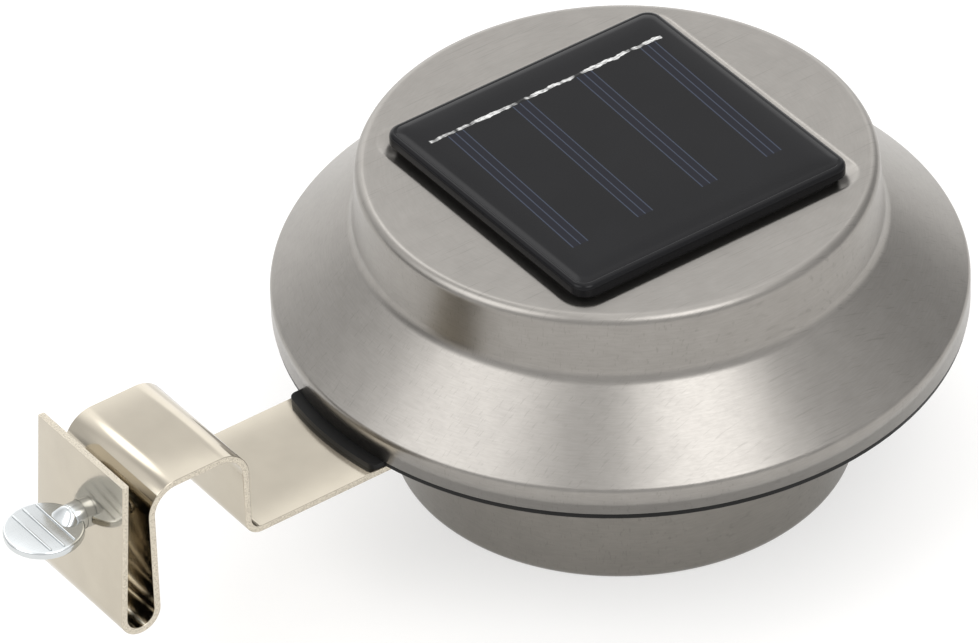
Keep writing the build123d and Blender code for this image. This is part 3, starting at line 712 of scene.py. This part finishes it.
class FENCE_LIGHT_OT_clamp(FenceLightOperator, bpy.types.Operator):
    """Build the bent strip that is both arm and clamp"""
    bl_idname = "fence_light.clamp"
    bl_label = "Clamp strip"

    def execute(self, context):
        size, tone = sizes(), colours()
        half = size.strip_thickness / 2
        width = STRIP_HIGH.y - STRIP_LOW.y
        lean = size.free_leg_lean
        fold = (size.fold_gap + size.strip_thickness) / 2
        fold_x = -(size.saddle_gap / 2 + half + fold)
        fold_z = half + fold - size.fold_depth
        start = Vector((fold_x - fold * cos(lean), 0, fold_z + fold * sin(lean)))
        rise = (size.free_leg_rise - half * sin(lean) - start.z) / cos(lean)
        head = start + Vector((sin(lean), 0, cos(lean))) * rise
        bm = bmesh.new()
        place = (Matrix.Translation(head) @ Matrix.Rotation(lean, 4, "Y")
                 @ Matrix.Diagonal((size.strip_thickness, width, 1, 1)))
        made = bmesh.ops.create_grid(bm, x_segments=1, y_segments=1, size=0.5, matrix=place)
        rounded(bm, made["verts"], size.strip_edge, 3)
        bmesh.ops.delete(bm, geom=bm.faces[:], context="FACES_ONLY")
        ring = bm.edges[:]
        bend_x = size.saddle_gap / 2 - size.saddle_bend
        arm_x = size.saddle_gap / 2 + size.strip_thickness + size.arm_bend
        arm_z = -size.saddle_rise
        ring = run(bm, ring, start - head)
        ring = bend(bm, ring, (fold_x, 0, fold_z), -(180 + lean * 180 / pi), 36)
        ring = run(bm, ring, (0, 0, -size.saddle_bend - fold_z))
        ring = bend(bm, ring, (-bend_x, 0, -size.saddle_bend), 90, 20)
        ring = run(bm, ring, (2 * bend_x, 0, 0))
        ring = bend(bm, ring, (bend_x, 0, -size.saddle_bend), 90, 20)
        ring = run(bm, ring, (0, 0, arm_z + size.arm_bend + size.saddle_bend))
        ring = bend(bm, ring, (arm_x, 0, arm_z + size.arm_bend), -90, 14)
        run(bm, ring, (STRIP_HIGH.x - arm_x, 0, 0))
        close_ends(bm)
        outward(bm)
        for face in bm.faces:
            if abs(face.normal.y) > 0.8 or len(face.verts) > 4:
                face.material_index = 1
        nickel = plated("polished_nickel", tone.nickel, 0.07, 0.15)
        # The strip's edges and ends take the edge finish, grain that is in part a painted highlight
        strip = piece("clamp_strip", bm, "lamp", [nickel, sheared("cut_edge_painted_highlight", tone.nickel)],
                      ["bracket"])
        tapped = size.screw_radius + size.thread_fit
        holes = bmesh.new()
        for x, radius in ((head.x - 0.001, tapped),
                          (-size.saddle_gap / 2 - half, size.screw_radius + size.bore_fit)):
            bmesh.ops.create_cone(holes, cap_ends=True, segments=48, radius1=radius, radius2=radius,
                                  depth=0.004, matrix=on_screw_axis(x))
        bored(strip, holes)
        leg_face = fold_x - (fold + half) / cos(lean) + (SCREW_AXIS - fold_z) * tan(lean) + size.strip_thickness
        back, front = leg_face - 0.0005, leg_face + size.collar_length
        outer = tapped + size.collar_wall
        collar = bmesh.new()
        turned(collar, [(tapped, back), (outer, back), (outer, front), (tapped, front)],
               [0, 0, size.collar_round, size.small_round], 48, closed=True, axis_x=0)
        bmesh.ops.transform(collar, matrix=on_screw_axis(0), verts=collar.verts)
        piece("tapped_collar", collar, "lamp", [nickel])
        return {"FINISHED"}


class FENCE_LIGHT_OT_thumb_screw(FenceLightOperator, bpy.types.Operator):
    """Build the thumb screw with its flat ribbed grip and its thread"""
    bl_idname = "fence_light.thumb_screw"
    bl_label = "Thumb screw"

    def execute(self, context):
        size, tone = sizes(), colours()
        grip_x = SCREW_LOW.x + size.grip_radius
        neck_end = grip_x + size.grip_radius + size.grip_gap
        neck_start = neck_end - size.neck_length
        core = size.screw_radius - size.thread_depth
        spigot_start = FOOT_LOW.x - size.thread_fit
        bm = bmesh.new()
        self.grip(bm, size, grip_x)
        self.shank(bm, size, neck_start, neck_end, core, spigot_start)
        self.taper(bm, size, neck_start)
        self.thread(bm, size, neck_end + 0.0009, spigot_start - 0.0009, core)
        piece("thumb_screw_body", bm, "screw", [plated("bright_zinc", tone.zinc, 0.10, 0.24)], ["thumb_screw"])
        dress("screw_foot", moulded("foot_nylon", (0.02, 0.02, 0.02, 1), 0.4, 0.55))
        return {"FINISHED"}

    def grip(self, bm, size, grip_x):
        """The flat round grip with three raised lines on each face."""
        half, sunk = size.grip_thickness / 2, size.thread_fit
        turned(bm, [(0, SCREW_AXIS + half), (size.grip_radius, SCREW_AXIS + half),
                    (size.grip_radius, SCREW_AXIS - half), (0, SCREW_AXIS - half)],
               [size.grip_edge, size.grip_edge], 96, axis_x=grip_x)
        for offset in (-size.rib_pitch, 0, size.rib_pitch):
            chord = sqrt(size.grip_radius ** 2 - offset ** 2) - half
            for side in (-1, 1):
                middle = Vector((grip_x + offset, 0, SCREW_AXIS + side * (half + size.rib_height / 2 - sunk)))
                reach = Vector((size.rib_width / 2, chord, size.rib_height / 2 + sunk))
                box_piece(bm, middle - reach, middle + reach, size.rib_edge)

    def shank(self, bm, size, neck_start, neck_end, core, spigot_start):
        """The round neck, the thread's core and the spigot that the foot swivels on."""
        end = FOOT_HIGH.x - size.spigot_cover
        shank = bmesh.new()
        turned(shank, [(0, neck_start), (size.screw_radius, neck_start), (size.screw_radius, neck_end + 0.0006),
                       (core, neck_end + 0.001), (core, spigot_start), (size.spigot_radius, spigot_start),
                       (size.spigot_radius, end), (0, end)],
               [size.small_round, size.small_round, 0, size.small_round, 0, size.small_round], 48,
               axis_x=0, segments=3)
        bmesh.ops.transform(shank, matrix=on_screw_axis(0), verts=shank.verts)
        join(bm, shank)

    def taper(self, bm, size, neck_start):
        """The part that flattens from the round neck to the grip."""
        steps = 18
        taper = bmesh.new()
        circle = bmesh.ops.create_circle(taper, segments=72, radius=size.screw_radius,
                                         matrix=on_screw_axis(neck_start))
        ring = list({edge for vert in circle["verts"] for edge in vert.link_edges})
        flatter = 1 - size.grip_thickness / 2 * 0.98 / size.screw_radius
        height = 1.0
        for step in range(1, steps + 1):
            share = step / steps
            ring = run(taper, ring, (-size.neck_taper / steps, 0, 0))
            verts = list({vert for edge in ring for vert in edge.verts})
            x = neck_start - size.neck_taper * share
            after = 1 - flatter * share * share * (3 - 2 * share)
            bmesh.ops.scale(taper, verts=verts, vec=(1, 1 + 0.16 / steps, after / height),
                            space=Matrix.Translation((-x, 0, -SCREW_AXIS)))
            height = after
        close_ends(taper)
        join(bm, taper)

    def thread(self, bm, size, first, last, core):
        """One ridge of the thread, run round the core from first to last."""
        pitch, steps = size.thread_pitch, 40
        count = round(steps * (last - first) / pitch)
        root, crest, sunk = 0.42, 0.08, core - 0.0001
        section = [(sunk, -root), (core, -root), (size.screw_radius, -crest), (size.screw_radius, crest),
                   (core, root), (sunk, root)]
        thread = bmesh.new()
        verts = [thread.verts.new((first + share * pitch, 0, radius)) for radius, share in section]
        loop = [thread.edges.new((one, two)) for one, two in zip(verts, verts[1:] + verts[:1])]
        bmesh.ops.contextual_create(thread, geom=loop)
        made = bmesh.ops.spin(thread, geom=verts + loop, cent=(0, 0, 0), axis=(1, 0, 0), steps=count,
                              dvec=(pitch / steps, 0, 0), angle=2 * pi * count / steps)
        bmesh.ops.contextual_create(thread, geom=only(bmesh.types.BMEdge, made["geom_last"]))
        bmesh.ops.translate(thread, verts=thread.verts, vec=(0, 0, SCREW_AXIS))
        join(bm, thread)


class FENCE_LIGHT_OT_cup(FenceLightOperator, bpy.types.Operator):
    """Build the steel lamp cup with its rolled edge"""
    bl_idname = "fence_light.cup"
    bl_label = "Lamp cup"

    def execute(self, context):
        size = sizes()
        top, bottom = CUP_HIGH.z, CUP_LOW.z
        radius = (CUP_HIGH.x - CUP_LOW.x) / 2
        sheet = size.sheet
        flange = radius - size.cup_flange
        hem = radius - sheet - size.cup_hem
        radius += size.cup_swell
        outline = [(flange, top), (radius, top), (radius, bottom), (hem, bottom), (hem, bottom + sheet),
                   (radius - sheet, bottom + sheet), (radius - sheet, top - sheet), (flange, top - sheet)]
        small = size.small_round
        radii = [small / 2, 2 * sheet, size.cup_edge, small, small, size.cup_edge - sheet, sheet, small / 2]
        bm = bmesh.new()
        turned(bm, outline, radii, size.turn_steps, closed=True, segments=8)
        # The cup's satin steel takes the darker cup tone, painted shade for the floor it reflects
        piece("cup", bm, "lamp", [satin_steel("cup_satin_with_painted_shade", colours().cup_steel)], ["lamp_ring"])
        return {"FINISHED"}


class FENCE_LIGHT_OT_light_unit(FenceLightOperator, bpy.types.Operator):
    """Finish the reflector, the lens, the lights and their board"""
    bl_idname = "fence_light.light_unit"
    bl_label = "Light unit"

    def execute(self, context):
        dress("reflector", plated("reflector_chrome", (0.82, 0.82, 0.81, 1), 0.03, 0.09, 0.0000006))
        dress("lens", clear("lens_clear", (0.96, 0.97, 0.98, 1), 0.02, 1.49))
        dress("light_board", moulded("board_white", (0.70, 0.70, 0.68, 1), 0.3, 0.4))
        resin = clear("light_resin", (0.98, 0.97, 0.93, 1), 0.02, 1.54)
        for number in range(1, 4):
            dress(f"light_{number}", resin)
        return {"FINISHED"}


class FENCE_LIGHT_OT_inside(FenceLightOperator, bpy.types.Operator):
    """Finish the base plate, the battery, the charge board and the switch"""
    bl_idname = "fence_light.inside"
    bl_label = "Plate and inner pieces"

    def execute(self, context):
        tone = colours()
        dress("base_plate", moulded("plate_plastic", tone.plastic_black, 0.26, 0.38, gloss=0.12))
        dress("rim_seal", moulded("seal_rubber", (0.005, 0.005, 0.005, 1), 0.6, 0.75, gloss=0.12))
        for node, name, shown, low, high in (
                ("circuit_board", "board_green", (0.012, 0.10, 0.03, 1), 0.25, 0.4),
                ("board_parts", "chip_epoxy", (0.02, 0.02, 0.02, 1), 0.45, 0.6),
                ("battery_holder", "holder_plastic", (0.015, 0.015, 0.015, 1), 0.4, 0.55),
                ("battery", "battery_sleeve", (0.03, 0.16, 0.07, 1), 0.2, 0.3),
                ("switch_body", "switch_case", (0.02, 0.02, 0.02, 1), 0.4, 0.5),
                ("switch_slider", "switch_knob", (0.03, 0.03, 0.03, 1), 0.35, 0.5)):
            dress(node, moulded(name, shown, low, high))
        spring = plated("contact_nickel", (0.62, 0.60, 0.55, 1), 0.15, 0.3)
        for node in ("contact_plus", "contact_minus"):
            dress(node, spring)
        zinc = plated("fastener_zinc", (0.50, 0.51, 0.52, 1), 0.18, 0.34)
        for node in ("arm_screws", "cup_screws", "hat_screws", "board_screws"):
            dress(node, zinc)
        return {"FINISHED"}


class FENCE_LIGHT_OT_stage(FenceLightOperator, bpy.types.Operator):
    """Set the pale floor, the soft light and the camera"""
    bl_idname = "fence_light.stage"
    bl_label = "Stage"

    # Soft patches of the studio: heading, height, inner and outer half-width in degrees, brightness
    patches = [
        (171.0, 47.0, 9.0, 26.0, 2.2),
        (-90.0, 55.0, 8.0, 22.0, 3.3),
        (80.0, 49.0, 4.0, 13.0, 1.6),
        (62.0, 24.0, 15.0, 48.0, 0.95),
        (10.0, 78.0, 10.0, 34.0, 0.8),
        (54.0, 36.0, 6.0, 15.0, -0.65),
        (140.0, 40.0, 8.0, 26.0, 0.35),
        (-5.0, 4.0, 12.0, 40.0, -0.30),
        (147.0, 2.0, 8.0, 24.0, -0.60),
    ]
    ambient = 0.85
    floor_glow = 0.60
    floor_radius = 4.0
    # The photo's camera: focal length, place, and its right, up and back
    lens = 381.23
    stand = (-0.69105, -1.09216, 1.03282)
    turn = ((0.80855847, -0.58770682, -0.02887741),
            (0.38113002, 0.48569996, 0.78666095),
            (-0.44830025, -0.64706742, 0.61670953))

    def execute(self, context):
        scene = context.scene
        scene.view_settings.view_transform = "Standard"
        self.floor()
        self.world(scene)
        self.camera(scene)
        return {"FINISHED"}

    def floor(self):
        bm = bmesh.new()
        bmesh.ops.create_circle(bm, cap_ends=True, segments=96, radius=self.floor_radius,
                                matrix=Matrix.Translation((LAMP_AXIS, 0, CUP_LOW.z)))
        floor = new_object("floor", bm)
        finish = Finish("floor_paper", Emission_Color=(1, 1, 1, 1), Emission_Strength=self.floor_glow)
        uneven = finish.group(moulded_grain(), Grain=400.0)["Unevenness"]
        tone = colours().floor
        beneath = finish.node("NewGeometry").outputs["Backfacing"]   # seen from below, the floor is left out
        finish.set(Base_Color=finish.blend(uneven, tone, shade(tone, 1.01)), Roughness=0.9,
                   Alpha=finish.spread(beneath, 1.0, 0.0))
        floor.data.materials.append(finish.material)

    def world(self, scene):
        world = bpy.data.worlds.new("studio")
        scene.world = world
        world.use_nodes = True
        tree = world.node_tree
        background = tree.nodes["Background"]
        background.inputs["Color"].default_value = (1, 1, 1, 1)
        sky = Nodes(tree)
        direction = sky.node("TexCoord").outputs["Generated"]
        total = self.ambient
        for heading, height, inner, outer, strength in self.patches:
            heading, height = radians(heading), radians(height)
            towards = (cos(height) * cos(heading), cos(height) * sin(heading), sin(height))
            nearness = sky.vector("DOT_PRODUCT", direction, towards)["Value"]
            edges = {"Value": nearness, "From Min": cos(radians(outer)), "From Max": cos(radians(inner))}
            soft = sky.node("MapRange", edges, interpolation_type="SMOOTHSTEP").outputs["Result"]
            total = sky.calc("MULTIPLY_ADD", soft, strength, total)
        tree.links.new(total, background.inputs["Strength"])

    def camera(self, scene):
        data = bpy.data.cameras.new("camera")
        data.sensor_width = 36.0
        data.lens = self.lens
        data.clip_end = 20.0
        camera = bpy.data.objects.new("camera", data)
        camera.matrix_world = Matrix.Translation(self.stand) @ Matrix(self.turn).transposed().to_4x4()
        bpy.context.collection.objects.link(camera)
        scene.camera = camera


OPERATORS = (
    FENCE_LIGHT_OT_hat, FENCE_LIGHT_OT_panel, FENCE_LIGHT_OT_clamp, FENCE_LIGHT_OT_thumb_screw,
    FENCE_LIGHT_OT_cup, FENCE_LIGHT_OT_light_unit, FENCE_LIGHT_OT_inside, FENCE_LIGHT_OT_stage,
)


class FENCE_LIGHT_PT_pieces(bpy.types.Panel):
    """The fence light's pieces, sizes and colours"""
    bl_idname = "FENCE_LIGHT_PT_pieces"
    bl_label = "Fence light"
    bl_space_type = "VIEW_3D"
    bl_region_type = "UI"
    bl_category = "Fence light"

    def draw(self, context):
        for operator in OPERATORS:
            self.layout.operator(operator.bl_idname)
        for group in (context.scene.fence_light_sizes, context.scene.fence_light_colours):
            box = self.layout.box()
            for name in group.bl_rna.properties.keys():
                if name not in ("rna_type", "name"):
                    box.prop(group, name)


CLASSES = (FenceLightSizes, FenceLightColours, *OPERATORS, FENCE_LIGHT_PT_pieces)


def register():
    for cls in CLASSES:
        bpy.utils.register_class(cls)
    bpy.types.Scene.fence_light_sizes = PointerProperty(type=FenceLightSizes)
    bpy.types.Scene.fence_light_colours = PointerProperty(type=FenceLightColours)


def unregister():
    del bpy.types.Scene.fence_light_colours
    del bpy.types.Scene.fence_light_sizes
    for cls in reversed(CLASSES):
        bpy.utils.unregister_class(cls)


def main():
    register()
    bpy.ops.fence_light.hat()
    bpy.ops.fence_light.panel()
    bpy.ops.fence_light.clamp()
    bpy.ops.fence_light.thumb_screw()
    bpy.ops.fence_light.cup()
    bpy.ops.fence_light.light_unit()
    bpy.ops.fence_light.inside()
    bpy.ops.fence_light.stage()


if __name__ == "__main__":
    main()
